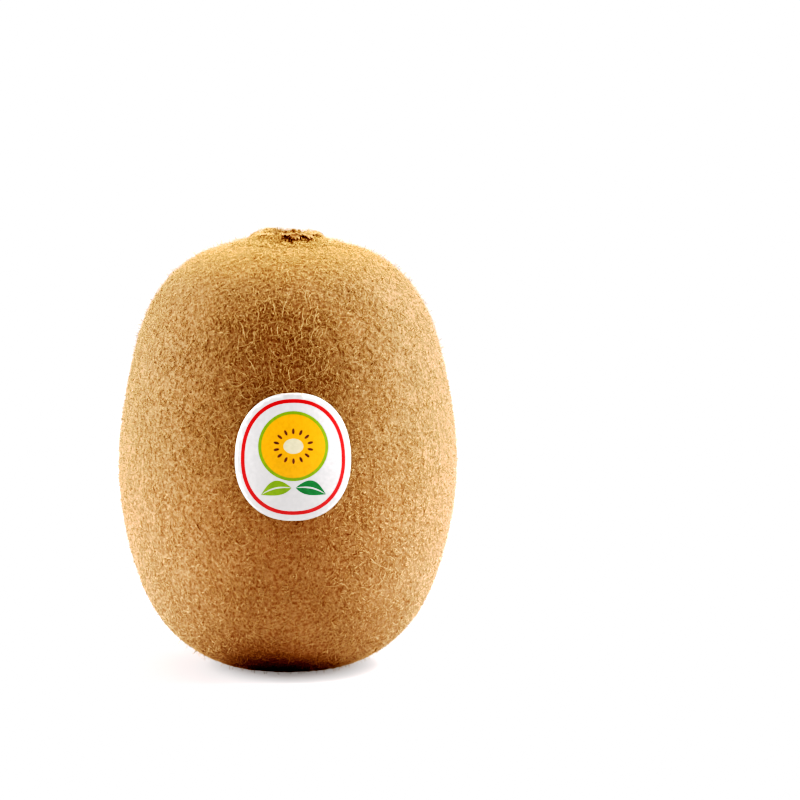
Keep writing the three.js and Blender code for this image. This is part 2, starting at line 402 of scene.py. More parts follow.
def skin_material():
    """Kiwi skin: dry, corky and matt. It shows dull brown between the hairs, with a fine crazed
    grain. On the scar and in the pit of the stem end it is bare, woody and fibrous, with its fibres
    drawn coarser than real ones so that they show."""
    material, tree, shader, place = new_material(
        "kiwi skin", Roughness=0.8, IOR=1.5, Specular_IOR_Level=0.05
    )
    tan, _ = mottled(tree, place, 6, 4.0, (0.3, "#8A6C4E"), (0.7, "#987656"))
    specks, _ = mottled(tree, place, 0.45, 4.0, (0.36, "#C0B0A4"), (0.64, "#FFFFFF"))
    browns = (0.38, "#4A3424"), (0.5, "#644A34"), (0.66, "#80624A")
    wood, _ = mottled(tree, place, 0.7, 6.0, *browns)
    # The corky brown is darkened by its specks, by painted shade round the blossom end and by painted
    # light and shade at each height.
    cork = shaded(tree, tan, [specks, *painted_shades(tree, place)])
    bare = add_node(tree, "ShaderNodeAttribute", {"attribute_name": "bare"}).outputs["Fac"]
    mixed = add_node(tree, "ShaderNodeMix", {"data_type": "RGBA"}, {0: bare, 6: cork, 7: wood})
    crazing = {"Scale": 1 / (0.4 * MM)}
    grain = add_node(tree, "ShaderNodeTexVoronoi", crazing, {"Vector": place})
    cover(tree, shader, mixed.outputs[2], grain.outputs["Distance"])
    return material


def hair_material():
    """Kiwi hair: dead, dry plant fibre, brown at the skin and pale gold where it stands out, so that
    the flanks look pale where only the outermost hairs are seen. It is matt and darkest in the corky
    specks. Painted shade darkens it round the blossom end, and painted light and shade make it paler
    towards the foot and duller higher up."""
    material, tree, shader, place = new_material(
        "kiwi hair", Roughness=0.7, IOR=1.5, Specular_IOR_Level=0.02
    )
    golds = (0.1, "#A88256"), (0.45, "#C09D74"), (0.95, "#D2B48E")
    tones = (0.0, "#7A5C44"), (0.25, "#BCAC9A"), (0.6, "#F4F0EA"), (1.0, "#FFFFFF")
    lift, tone = by_stored(tree, "lift", golds), by_stored(tree, "tone", tones)
    cover(tree, shader, shaded(tree, lift, [tone, *painted_shades(tree, place)]))
    return material


# -------- skin


# The skin's mesh: how many columns it has round the fruit, and how far apart its rings are in the
# dimple, on the side and on the crown. Then its low lumps, which come in above the foot, and the
# fibres of its bare wood, which come in away from the axis.
SKIN_MESH = {"columns": 224, "dimple": 0.25, "side": 0.8, "crown": 0.18, "past": (1.5, 2.5)}
LUMPS = {"height": 0.02, "size": 3, "seed": 7, "foot": (0, 3)}
FIBRES = {"height": 0.14, "size": 0.9, "seed": 8, "middle": (0.2, 1)}


def skin_runs():
    """Runs of the skin's rings, close together in the dimple and on the crown."""
    past_dimple, past_collar = SKIN_MESH["past"]
    dimple = DIMPLE["radius"] + past_dimple
    crown = FULL_RUN - COLLAR["foot"] - past_collar
    bounds = [(0, dimple, "dimple"), (dimple, crown, "side"), (crown, FULL_RUN, "crown")]
    parts = [np.arange(low, high, SKIN_MESH[name]) for low, high, name in bounds]
    return np.concatenate([*parts, [FULL_RUN]])


def make_skin():
    """The skin under the hairs, as one closed surface."""
    around = SKIN_MESH["columns"]
    runs = skin_runs()
    turns = np.arange(around) / around * TURN
    grid_turn, grid_run = np.meshgrid(turns, runs[1:-1])
    points, normals = skin_at(grid_turn.ravel(), grid_run.ravel())
    radius = np.hypot(points[:, 0], points[:, 1])
    bare = bare_share(points)
    lumps = LUMPS["height"] * slow_waves(points, LUMPS["size"], LUMPS["seed"])
    lumps = lumps * smooth(*LUMPS["foot"], points[:, 2])
    fibres = FIBRES["height"] * bare * slow_waves(points, FIBRES["size"], FIBRES["seed"])
    fibres = fibres * smooth(*FIBRES["middle"], radius)
    points = points + normals * (lumps + fibres)[:, None]
    points[:, 2] = np.maximum(points[:, 2], 0)
    ends, _ = skin_at(np.zeros(2), np.array([0, FULL_RUN]))
    rows = len(runs) - 2
    bottom, top = rows * around, rows * around + 1
    column = np.arange(around)
    beside = (column + 1) % around
    last = (rows - 1) * around
    faces = [
        grid_faces(rows, around, closed=True),
        np.stack([0 * column + bottom, beside, column], axis=1),
        np.stack([0 * column + top, last + column, last + beside], axis=1),
    ]
    points, bare = np.vstack([points, ends]), np.concatenate([bare, [0, 1]])
    return mesh_piece("skin", points, np.concatenate(faces), skin_material(), bare=bare)


# -------- hairs


# Kinds of hair, in millimetres: how far they reach along the skin, how high above it their tips are
# (their loft) and how thick they are. Real hairs are about 0.06 mm thick, and these are drawn up to
# twice that so that they show. "bends" is how many straight parts a hair has, "curl" and "spread"
# are in degrees, and "pale" is how pale a hair is at the skin and how much paler at full loft.
def hair_kind(*measures):
    names = ("count", "reach", "loft", "thick", "bends", "curl", "spread", "pale")
    return dict(zip(names, measures))


# From the shortest to the longest: down that lies close, upright nap, bent felt, strays that stand
# off the outline, and the wool and curls that are left where the fruit is rubbed least. The last is
# the longer fur round the stem end's collar.
DOWN = hair_kind(56000, (0.5, 1.0), (0.06, 0.24), 0.095, 1, 0, 45, (0.1, 0.75))
NAP = hair_kind(80000, (0.02, 0.3), (0.24, 0.46), 0.062, 1, 0, 70, (0.45, 0.5))
FELT = hair_kind(20000, (0.8, 1.4), (0.14, 0.34), 0.085, 2, 30, 45, (0.05, 0.9))
STRAYS = hair_kind(5000, (0.2, 0.8), (0.45, 1.0), 0.075, 2, 25, 80, (0.3, 0.4))
WOOL = hair_kind(9000, (1.2, 2.4), (0.22, 0.36), 0.08, 3, 45, 70, (0.1, 0.5))
CURLS = hair_kind(4500, (2.4, 4.6), (0.28, 0.48), 0.082, 6, 42, 80, (0.15, 0.7))
COLLAR_FUR = hair_kind(3600, (0.7, 1.5), (0.3, 0.62), 0.085, 2, 25, 35, (0.05, 0.7))
KINDS = (DOWN, NAP, FELT, STRAYS, WOOL, CURLS)
LONG_KINDS = (WOOL, CURLS)
FULL_LOFT = 0.5

# How a hair runs: how deep it is rooted, how fast it rises and sinks back, how much of its curl and
# how much chance each bend has, how far it thins out, and how much hairs differ in thickness.
HAIR = {
    "root_depth": 0.04,
    "rise": 1.6,
    "sink": 0.3,
    "curl": 2.2,
    "chance": 0.25,
    "taper": 0.55,
    "taper_power": 1.5,
    "thicknesses": (0.75, 1.2),
}

# The place inside the fruit that the edges of the hairs' tubes are turned away from.
HAIRS_FACE_FROM = (0, 0, BELLY_HEIGHT + 3)

# How far the hairs stand up by height: rubbed flat below the first height, full above the second.
RISE = {"rubbed": 0.55, "low": 14, "full": 36}

# How strongly pale and dark hairs differ: in the long kinds, and in the others low down and how much
# more further up. Then how much duller they are on the crown, inside its edge.
CONTRAST = {"long": 0.64, "low": 0.36, "more": 0.12, "rise": (16, 34), "crown": 0.35}
CROWN_EDGE = (5, 9)

# The hairs' own tones: the usual one, by how much single hairs and whole patches differ from it, and
# the darkest.
TONE = {"usual": 0.7, "hair": 0.03, "patch": 0.02, "patch_size": 4, "seed": 6, "least": 0.2}

# Where the long hairs are left: the size of their patches and how wide their edges are, the heights
# where they come in and where they end, and the share of them that is left elsewhere.
WOOLLY = {
    "size": 20,
    "seed": 5,
    "patches": (-0.3, 0.7),
    "in": (28, 44),
    "out": (57, 64),
    "elsewhere": 0.06,
}

# How near the label's middle hairs may come, as shares of the way to its edge: low ones stay clear
# of the paper, and ones that pass over it lie a little over the edge.
LABEL_GAP = {"low": 1.012, "over": 0.965, "above_paper": 0.03, "least_depth": 0.2}

# How near the ground the hairs come.
LOWEST_HAIR = 0.08

# A hair's cell in the bake map: where the three corners of each ring lie across it, how far the
# third is set back so that no face is flat, and the margin left at both ends.
CELL = {"corners": (0.15, 0.85, 0.5), "slant": (0.0, 0.0, -0.1), "margin": 0.12}

# Small dark corky specks, where the hairs are dark.
SPECK = {"count": 420, "radius": (0.08, 0.2), "past_dimple": 5}


def label_depth(x, z):
    """1 at the label's edge, less inside it."""
    corner = LABEL["corner"]
    shares = [np.abs(v - m) / h for v, m, h in zip((x, z), LABEL["middle"], LABEL["half"])]
    return (shares[0] ** corner + shares[1] ** corner) ** (1 / corner)


def area_shares(low_run, high_run):
    """Runs between two runs along the outline, and the share of the skin's area below each."""
    steps = 2000
    runs = np.linspace(low_run, high_run, steps)
    area = np.cumsum(np.interp(runs, OUTLINE_RUN, OUTLINE_RADIUS))
    return runs, area / area[-1]


def scatter_roots(count, low_run, high_run, stream):
    """Turns and runs spread evenly over the skin's area between two runs."""
    runs, shares = area_shares(low_run, high_run)
    order = (np.arange(count) + stream.random(count)) / count
    run = np.interp(order, shares, runs)
    turn = (stream.random(count) * TURN) - math.pi
    return turn, run


def hair_paths(turn, run, kind, rise):
    """Centre lines of hairs that rise from their roots, bend over and curl along the skin, and the
    height above the skin along them."""
    count = len(turn)
    bends = kind["bends"]
    step = random.uniform(*kind["reach"], count) / bends
    heading = np.where(random.random(count) < 0.5, 90, -90) + random.normal(0, kind["spread"], count)
    heading = np.radians(heading)
    curl = np.radians(kind["curl"]) * random.normal(0, 1, count)
    loft = random.uniform(*kind["loft"], count) * rise
    across = np.zeros(count)
    ahead = np.zeros(count)
    root_radius = np.maximum(np.interp(run, OUTLINE_RUN, OUTLINE_RADIUS), 1.0)
    path, heights = [], []
    for i in range(bends + 1):
        part = i / bends
        climb = np.sin(math.pi / 2 * min(HAIR["rise"] * part, 1 + HAIR["sink"] * part))
        height = -HAIR["root_depth"] + (loft + HAIR["root_depth"]) * climb
        here_turn = turn + across / root_radius
        here_run = np.clip(run + ahead, 0, FULL_RUN)
        point, normal = skin_at(here_turn, here_run)
        path.append(point + normal * height[:, None])
        heights.append(height)
        across = across + step * np.cos(heading)
        ahead = ahead + step * np.sin(heading)
        heading = heading + curl * HAIR["curl"] / bends + random.normal(0, HAIR["chance"], count)
    return np.stack(path, axis=1), np.stack(heights, axis=1)


def hair_tubes(paths, thick):
    """Closed three-sided tubes round centre lines, each ending in a point."""
    count, stations, _ = paths.shape
    tangent = unit(np.gradient(paths, axis=1))
    outward = paths - np.array(HAIRS_FACE_FROM)
    side = unit(np.cross(tangent, outward))
    up = np.cross(side, tangent)
    along = np.arange(stations - 1) / (stations - 1)
    taper = 1.0 - HAIR["taper"] * along ** HAIR["taper_power"]
    rings = []
    for corner in range(3):
        angle = math.radians(90 + 120 * corner)
        offset = side[:, :-1] * math.cos(angle) + up[:, :-1] * math.sin(angle)
        rings.append(paths[:, :-1] + offset * (thick[:, None, None] / 2) * taper[None, :, None])
    rings = np.stack(rings, axis=2).reshape(count, -1, 3)
    points = np.concatenate([rings, paths[:, -1:]], axis=1)
    per_hair = points.shape[1]
    faces = [[0, 2, 1]]
    for i in range(stations - 2):
        for corner in range(3):
            a, b = 3 * i + corner, 3 * i + (corner + 1) % 3
            faces += [[a, b, b + 3], [a, b + 3, a + 3]]
    tip = per_hair - 1
    for corner in range(3):
        faces.append([tip - 3 + corner, tip - 3 + (corner + 1) % 3, tip])
    faces = np.array(faces)
    all_faces = (faces[None] + (np.arange(count) * per_hair)[:, None, None]).reshape(-1, 3)
    return points.reshape(-1, 3), all_faces


def spread_to_corners(values):
    """One value for each station of each hair, as one for each corner of its tube."""
    return np.concatenate([np.repeat(values[:, :-1], 3, axis=1), values[:, -1:]], axis=1).ravel()


def bake_map(piece, batches):
    """Gives each hair a small cell of its own in the UV map named OFBake, for its colours to be baked
    to. The cells run row after row in the order of the hairs, and each hair goes up its cell. The
    batches are the hairs' numbers and how many stations each has."""
    columns = math.ceil(math.sqrt(sum(count for count, _ in batches)))
    first, places = 0, []
    for count, stations in batches:
        cell = np.arange(first, first + count)[:, None]
        rings = np.repeat(np.arange(stations - 1) / (stations - 1), 3)
        across = np.append(np.tile(CELL["corners"], stations - 1), 0.5)
        up = np.append(rings + np.tile(CELL["slant"], stations - 1), 1.0)
        up = CELL["margin"] + (1 - 2 * CELL["margin"]) * up
        u, v = cell % columns + across, cell // columns + up
        places.append(np.stack([u, v], axis=2).reshape(-1, 2) / columns)
        first += count
    places = np.concatenate(places)
    corners = np.empty(len(piece.data.loops), np.int32)
    piece.data.loops.foreach_get("vertex_index", corners)
    piece.data.uv_layers.new(name="OFBake").data.foreach_set("uv", places[corners].ravel())


def clear_of_label(paths, heights):
    """The centre lines, with what would run under the label moved round its edge. What stands
    higher than the paper may lie over its edge a little."""
    across_up = paths[..., [0, 2]]
    middle = np.array(LABEL["middle"])
    depth = label_depth(paths[..., 0], paths[..., 2])
    over = heights > PAPER["top"] + LABEL_GAP["above_paper"]
    limit = np.where(over, LABEL_GAP["over"], LABEL_GAP["low"])
    inside = (depth < limit) & (paths[..., 1] < 0)
    outward = limit / np.maximum(depth, LABEL_GAP["least_depth"])
    pushed = middle + (across_up - middle) * outward[..., None]
    paths[..., [0, 2]] = np.where(inside[..., None], pushed, across_up)
    return paths


def scatter_specks():
    """Middles and radii of the small dark corky specks."""
    low, high = DIMPLE["radius"] + SPECK["past_dimple"], FULL_RUN - COLLAR["foot"]
    turn, run = scatter_roots(SPECK["count"], low, high, speck_random)
    middles, _ = skin_at(turn, run)
    return middles, speck_random.uniform(*SPECK["radius"], SPECK["count"])


def in_speck(points):
    """Whether points lie in a dark speck."""
    inside = np.zeros(len(points), bool)
    for middle, radius in zip(*SPECKS):
        near = np.abs(points - middle).max(axis=1) < radius
        inside |= near
    return inside


SPECKS = scatter_specks()


def woolly_share(points):
    """How much of the long curled hair is left at each point: most in patches on the upper half,
    where the fruit is rubbed least, and little elsewhere."""
    waves = slow_waves(points, WOOLLY["size"], WOOLLY["seed"])
    patches = smooth(*WOOLLY["patches"], waves)
    height = points[:, 2]
    band = smooth(*WOOLLY["in"], height) * (1 - smooth(*WOOLLY["out"], height))
    rest = WOOLLY["elsewhere"]
    return np.clip(rest + (1 - rest) * patches * band, 0, 1)


def hair_roots(kind, share, low_run, high_run):
    """Turns, runs and points of the roots of one kind of hair, between two runs along the outline."""
    collar = kind is COLLAR_FUR
    lowest = FULL_RUN - COLLAR["foot"] - COLLAR["fur"] if collar else low_run
    turn, run = scatter_roots(int(kind["count"] * (1 if collar else share)), lowest, high_run, random)
    root, _ = skin_at(turn, run)
    keep = (label_depth(root[:, 0], root[:, 2]) > 1.0) | (root[:, 1] > 0)
    keep &= bare_share(root) < random.random(len(root))
    if kind in LONG_KINDS:
        keep &= woolly_share(root) > random.random(len(root))
    if collar:
        radius = np.hypot(root[:, 0], root[:, 1])
        near = smooth(COLLAR["foot"] + COLLAR["fur"], COLLAR["foot"] - 1, radius)
        keep &= near > random.random(len(root))
    return turn[keep], run[keep], root[keep]


def paleness(kind, root, heights, rise):
    """How pale the hairs are along their length."""
    base, gain = kind["pale"]
    pale = base + heights / np.reshape(rise, (-1, 1)) / FULL_LOFT * gain
    radius, height = np.hypot(root[:, 0], root[:, 1]), root[:, 2]
    on_crown = (height > BELLY_HEIGHT) * (1 - smooth(*CROWN_EDGE, radius))
    pale = pale * (1 - CONTRAST["crown"] * on_crown)[:, None]
    others = CONTRAST["low"] + CONTRAST["more"] * smooth(*CONTRAST["rise"], height)
    contrast = CONTRAST["long"] if kind in LONG_KINDS else others
    return 0.5 + (pale - 0.5) * np.reshape(contrast, (-1, 1))


def make_hairs(name, kinds, low_run, high_run, share, material):
    """The hairs whose roots lie between two runs along the outline."""
    tubes, lift, tone, batches = [], [], [], []
    for kind in kinds:
        turn, run, root = hair_roots(kind, share, low_run, high_run)
        full = smooth(RISE["low"], RISE["full"], root[:, 2])
        rise = 1 if kind is STRAYS else RISE["rubbed"] + (1 - RISE["rubbed"]) * full
        paths, heights = hair_paths(turn, run, kind, rise)
        paths = clear_of_label(paths, heights)
        paths[..., 2] = np.maximum(paths[..., 2], LOWEST_HAIR)
        thick = kind["thick"] * random.uniform(*HAIR["thicknesses"], len(paths))
        points, faces = hair_tubes(paths, thick)
        patches = TONE["patch"] * slow_waves(root, TONE["patch_size"], TONE["seed"])
        shade = random.normal(TONE["usual"], TONE["hair"], len(paths)) + patches
        shade = np.where(in_speck(root), 0, np.maximum(shade, TONE["least"]))
        tubes.append((points, faces))
        batches.append(paths.shape[:2])
        lift.append(spread_to_corners(paleness(kind, root, heights, rise)))
        tone.append(np.repeat(shade, len(points) // len(paths)))
    lift, tone = [np.clip(np.concatenate(values), 0, 1) for values in (lift, tone)]
    piece = mesh_piece(name, *joined(tubes), material, lift=lift, tone=tone)
    bake_map(piece, batches)
    return piece


def hair_pieces():
    """The hairs in bands from the blossom end to the stem end, each about as much skin."""
    names = ["hairs_blossom_end", "hairs_lower", "hairs_middle", "hairs_upper", "hairs_stem_end"]
    low = DIMPLE["radius"] + DIMPLE["depth"] + DIMPLE["margin"]
    high = FULL_RUN - PIT["wall"]
    runs, shares = area_shares(low, high)
    cuts = np.interp(np.linspace(0, 1, len(names) + 1), shares, runs)
    material = hair_material()
    pieces = []
    for i, name in enumerate(names):
        kinds = (*KINDS, COLLAR_FUR) if i == len(names) - 1 else KINDS
        pieces.append(make_hairs(name, kinds, cuts[i], cuts[i + 1], 1 / len(names), material))
    return pieces


# -------- stem end


# Dried sepals on the rim of the pit: where each stands in turns (0 is the front), how long and wide
# it is, how steeply it leaves its root and how far it curls over, in degrees, how far it stays clear
# of the skin, and how bleached it is.
SEPAL_MEASURES = ("turn", "length", "width", "lean", "curl", "clear", "bleached")
SEPALS = (
    (-0.056, 1.6, 1.6, 84, -10, 0.1, 0.5),
    (0.0, 1.7, 1.8, 16, 50, 0.14, 0.3),
    (0.04, 2.3, 1.9, 20, 55, 0.1, 0),
    (0.075, 1.7, 2.0, 28, 60, 0.24, 0.1),
    (0.115, 2.2, 1.9, 14, 45, 0.12, 0.2),
    (0.15, 1.6, 1.6, 28, 55, 0.2, 0),
    (0.19, 1.7, 1.3, 12, 20, 0.15, -0.2),
    (0.31, 1.9, 2.4, 40, 60, 0.2, 0.2),
    (0.46, 1.2, 2.8, 66, 10, 0.2, -0.2),
    (0.6, 1.7, 2.2, 40, 60, 0.3, 0.3),
    (0.75, 1.8, 2.2, 30, 60, 0.2, 0),
    (0.87, 1.3, 1.7, 30, 60, 0.2, 0.2),
)

# What all of them share: how far from the axis they are rooted, how thick and how cupped they are,
# how far they are sunk at the root and how soon they have risen clear of the skin, how they narrow
# to the tip and widen in the middle, and how many rows and columns their mesh has.
SEPAL = {
    "root": 3.7,
    "thickness": 0.16,
    "cupping": 0.18,
    "sunk": 0.25,
    "rises_by": 0.4,
    "narrows": 0.3,
    "widens": 0.25,
    "rows": 16,
    "columns": 15,
}

# A sepal's torn edge and wavy surface: how far they go in and out, how many waves there are across
# it, and how far they are shifted from sepal to sepal or along the sepal.
TEARS = ((0.12, 5, 9), (0.06, 13, 5))
WRINKLES = (0.05, 9, 4)


def sepal_material():
    """Dried sepal: dead leaf tissue, thin, brittle and matt. It is dark woody brown with lengthwise
    streaks, and bleached tan at the torn edge."""
    material, tree, shader, place = new_material(
        "dried sepal", Roughness=0.7, IOR=1.5, Specular_IOR_Level=0.05
    )
    browns = (0.1, "#4E3420"), (0.5, "#624228"), (0.85, "#7A5A3A"), (1.0, "#8A6A48")
    tissue = by_stored(tree, "along", browns)
    shade, streaks = mottled(tree, place, 0.35, 5.0, (0.38, "#A8988C"), (0.6, "#FFFFFF"))
    cover(tree, shader, shaded(tree, tissue, [shade]), streaks, strength=0.6, depth_mm=0.08)
    return material


def sepal_points(sepal):
    """Middle surface of one dried sepal, row after row from its root to its torn edge, and how far
    along it each point is."""
    rows, columns = SEPAL["rows"], SEPAL["columns"]
    turn = sepal["turn"] * TURN
    along, side = np.meshgrid(np.linspace(0, 1, rows), np.linspace(-1, 1, columns), indexing="ij")
    torn = 1
    for depth, waves, shift in TEARS:
        torn = torn + depth * np.sin(waves * side + shift * turn)
    bend = np.radians(sepal["lean"] - sepal["curl"] * along * torn)
    step = sepal["length"] / (rows - 1) * torn
    out = np.cumsum(np.cos(bend) * step, axis=0)
    up = np.cumsum(np.sin(bend) * step, axis=0)
    belly = 1 - SEPAL["widens"] + SEPAL["widens"] * np.sin(math.pi * along)
    half = sepal["width"] / 2 * (1 - SEPAL["narrows"] * along**2) * belly
    radius = SEPAL["root"] + out
    x = np.sin(turn) * radius + np.cos(turn) * side * half
    y = -np.cos(turn) * radius + np.sin(turn) * side * half
    root, _ = skin_at(np.array([turn]), np.array([FULL_RUN - SEPAL["root"]]))
    depth, waves, shift = WRINKLES
    cupped = SEPAL["cupping"] * side**2 * half
    z = root[0, 2] + up - cupped + depth * np.sin(waves * side + shift * along)
    skin, _ = skin_at(np.arctan2(x, -y).ravel(), FULL_RUN - np.hypot(x, y).ravel())
    risen = (sepal["clear"] + SEPAL["sunk"]) * smooth(0, SEPAL["rises_by"], along) - SEPAL["sunk"]
    floor = skin[:, 2].reshape(z.shape) + risen
    return np.stack([x, y, np.maximum(z, floor)], axis=-1), along + sepal["bleached"]


def surface_normals(grid):
    """Unit normals of a grid of points."""
    return unit(np.cross(np.gradient(grid, axis=1), np.gradient(grid, axis=0)))


def make_sepals():
    """The dried sepals round the pit, as thin torn flaps."""
    sheets, shares = [], []
    for measures in SEPALS:
        middle, along = sepal_points(dict(zip(SEPAL_MEASURES, measures)))
        half = surface_normals(middle) * (SEPAL["thickness"] / 2)
        below, above = (middle - half).reshape(-1, 3), (middle + half).reshape(-1, 3)
        grid = grid_faces(SEPAL["rows"], SEPAL["columns"])[:, ::-1]
        sheets.append(closed_sheet(below, above, grid))
        shares.append(np.tile(along.ravel(), 2))
    along = np.concatenate(shares)
    return mesh_piece("dried_sepals", *joined(sheets), sepal_material(), along=along)


# -------- blossom end


# The styles: how far they reach and how unevenly they are spaced, how thick they are and how far
# they sag, with how much single ones differ in those, how much of an arc the sag is and how far they
# bow sideways, in radians, the gap that they keep from the axis and from the dimple's roof, and how
# near the ground they come.
STYLES = {
    "count": 26,
    "stations": 7,
    "reach": (1.4, 2.9),
    "spacing": (0, 0.7),
    "thick": 0.26,
    "thicknesses": (0.7, 1.2),
    "sag": 0.45,
    "sags": (0.4, 1.0),
    "sag_end": 2.4,
    "bow": 0.18,
    "gap": 0.12,
    "lowest": 0.15,
}


def style_material():
    """Dried style: dead, dry flower tissue, mottled dark brown and matt."""
    material, tree, shader, place = new_material("dried style", Roughness=0.7)
    colour, _ = mottled(tree, place, 0.5, 3.0, (0.35, "#2E1A0E"), (0.65, "#6A4628"))
    cover(tree, shader, colour)
    return material


def make_styles():
    """The dried styles, a brown brush of bristles that fans out from the middle of the dimple."""
    count = STYLES["count"]
    turn = (np.arange(count) + random.uniform(*STYLES["spacing"], count)) / count * TURN
    reach = random.uniform(*STYLES["reach"], count)
    bow = random.normal(0, STYLES["bow"], count)
    part = np.linspace(0, 1, STYLES["stations"])
    radius = STYLES["gap"] + reach[:, None] * part
    bent = turn[:, None] + bow[:, None] * part
    ends = OUTLINE_RUN < DIMPLE["radius"] + DIMPLE["margin"]
    roof = np.interp(radius, OUTLINE_RADIUS[ends], OUTLINE_HEIGHT[ends])
    sag = STYLES["sag"] * random.uniform(*STYLES["sags"], count)
    sag = sag[:, None] * np.sin(part * STYLES["sag_end"])
    height = np.maximum(roof - (STYLES["gap"] + sag), STYLES["lowest"])
    paths = np.stack([np.sin(bent) * radius, -np.cos(bent) * radius, height], axis=-1)
    thick = STYLES["thick"] * random.uniform(*STYLES["thicknesses"], count)
    return mesh_piece("dried_styles", *hair_tubes(paths, thick), style_material())


# -------- label


# The print, in millimetres from the label's middle: a ring near the edge, a slice of yellow fruit
# with a pale core and dark seeds, and a pair of leaves with white veins.
RING = {"outer": 0.9, "inner": 1.5}
SLICE = {"middle": (0, 1.7), "rind": 5.3, "flesh": 4.8, "core": (1.5, 1.15)}
SEEDS = {"count": 14, "ring": (2.6, 2.25), "length": 0.9, "width": 0.42}
LEAF = {
    "root": (0.3, -4.6),
    "length": 4.7,
    "width": 2.3,
    "vein": 0.22,
    "droop": 14,
    "arch": 0.5,
    "taper": 0.85,
}

# How many points the printed outlines have.
OUTLINES = {"oval": 120, "slice": 72, "core": 32, "seed": 12, "leaf": 18}

# The sheet's mesh: points along its edge, the spacing of the points inside, how far those stay from
# the edge and from a printed edge, and how near two points may be before they are joined.
SHEET = {"edge": 160, "step": 0.5, "inset": 0.3, "gap": 0.2, "join": 1e-5}


def label_point(x, z, lift):
    """A point over the skin in front, at a place across and up, lifted along the normal."""
    here, normal = skin_at(x / BELLY, run_of_height(z))
    return here + normal * np.asarray(lift)[..., None]


def label_oval(inset, count):
    """Outline of the label's own oval, set in from its edge."""
    angle = np.arange(count) / count * TURN
    across, up = np.cos(angle), np.sin(angle)
    corner = LABEL["corner"]
    reach = (np.abs(across) ** corner + np.abs(up) ** corner) ** (-1 / corner)
    return np.stack([reach * across, reach * up], axis=1) * (np.array(LABEL["half"]) - inset)


def ellipse(middle, half, count, turned=0.0):
    angle = np.arange(count) / count * TURN
    flat = np.stack([np.cos(angle) * half[0], np.sin(angle) * half[1]], axis=1)
    cos, sin = math.cos(turned), math.sin(turned)
    return np.array(middle) + flat @ np.array([[cos, sin], [-sin, cos]])


def leaf_outline(side, width):
    """Outline of a pointed leaf that leaves the slice's foot to one side (-1 or 1)."""
    part = np.linspace(0, 1, OUTLINES["leaf"])
    half = width / 2 * np.sin(math.pi * part ** LEAF["taper"])
    rib = LEAF["arch"] * np.sin(math.pi * part)
    upper = np.stack([part * LEAF["length"], rib + half], axis=1)
    lower = np.stack([part * LEAF["length"], rib - half], axis=1)[::-1][1:-1]
    flat = np.concatenate([upper, lower])
    droop = math.radians(LEAF["droop"])
    cos, sin = math.cos(droop), math.sin(droop)
    turned = flat @ np.array([[cos, -sin], [sin, cos]])
    return (turned + np.array(LEAF["root"])) * np.array([side, 1])


def print_regions():
    """The printed shapes as (ink, outline), what is printed over others coming later."""
    middle = SLICE["middle"]
    regions = [
        ("red", label_oval(RING["outer"], OUTLINES["oval"])),
        ("white", label_oval(RING["inner"], OUTLINES["oval"])),
        ("light green", ellipse(middle, (SLICE["rind"],) * 2, OUTLINES["slice"])),
        ("golden yellow", ellipse(middle, (SLICE["flesh"],) * 2, OUTLINES["slice"])),
        ("cream", ellipse(middle, SLICE["core"], OUTLINES["core"])),
        ("dark green", leaf_outline(1, LEAF["width"])),
        ("light green", leaf_outline(-1, LEAF["width"])),
        ("white", leaf_outline(1, LEAF["vein"])),
        ("white", leaf_outline(-1, LEAF["vein"])),
    ]
    for i in range(SEEDS["count"]):
        angle = TURN * (i + 0.5) / SEEDS["count"]
        place = np.array([math.cos(angle) * SEEDS["ring"][0], math.sin(angle) * SEEDS["ring"][1]])
        half = (SEEDS["length"] / 2, SEEDS["width"] / 2)
        seed = ellipse(place + middle, half, OUTLINES["seed"], turned=angle)
        regions.append(("seed brown", seed))
    return regions


def inside(points, outline):
    """Whether flat points lie inside a closed outline."""
    x, y = points[:, 0:1], points[:, 1:2]
    x0, y0 = outline[:, 0], outline[:, 1]
    x1, y1 = np.roll(x0, -1), np.roll(y0, -1)
    spans = (y0 > y) != (y1 > y)
    rise = np.where(y1 == y0, 1e-9, y1 - y0)
    crosses = spans & (x < x0 + (y - y0) / rise * (x1 - x0))
    return crosses.sum(axis=1) % 2 == 1


def label_sheet(regions):
    """The flat label cut into triangles along every printed edge, and the ink of each triangle."""
    edge = label_oval(0, SHEET["edge"])
    outlines = [edge] + [outline for _, outline in regions]
    corners = np.concatenate(outlines)
    links, start = [], 0
    for outline in outlines:
        n = len(outline)
        links += [(start + i, start + (i + 1) % n) for i in range(n)]
        start += n
    steps = [np.arange(-half, half, SHEET["step"]) for half in LABEL["half"]]
    grid = np.stack(np.meshgrid(*steps), axis=-1).reshape(-1, 2)
    gap = np.linalg.norm(grid[:, None] - corners[None], axis=2).min(axis=1)
    grid = grid[inside(grid, label_oval(SHEET["inset"], SHEET["edge"])) & (gap > SHEET["gap"])]
    flat = [Vector(point) for point in np.concatenate([corners, grid]).tolist()]
    points, _, faces, *_ = geometry.delaunay_2d_cdt(flat, links, [], 0, SHEET["join"])
    points = np.array([tuple(point) for point in points])
    faces = np.array(faces)
    middles = points[faces].mean(axis=1)
    ink = np.full(len(faces), "white", dtype=object)
    for name, outline in regions:
        ink[inside(middles, outline)] = name
    return points, faces, ink


# Inks, as the two shades that the paper's unevenness gives each of them.
INKS = {
    "white": ("#ACAAA9", "#B4B2B1"),
    "red": ("#A00204", "#AC0606"),
    "golden yellow": ("#C47C04", "#CE840A"),
    "cream": ("#B4AC86", "#BEB690"),
    "light green": ("#5A7606", "#64800A"),
    "dark green": ("#025224", "#065C2C"),
    "seed brown": ("#38200E", "#4C2C16"),
}


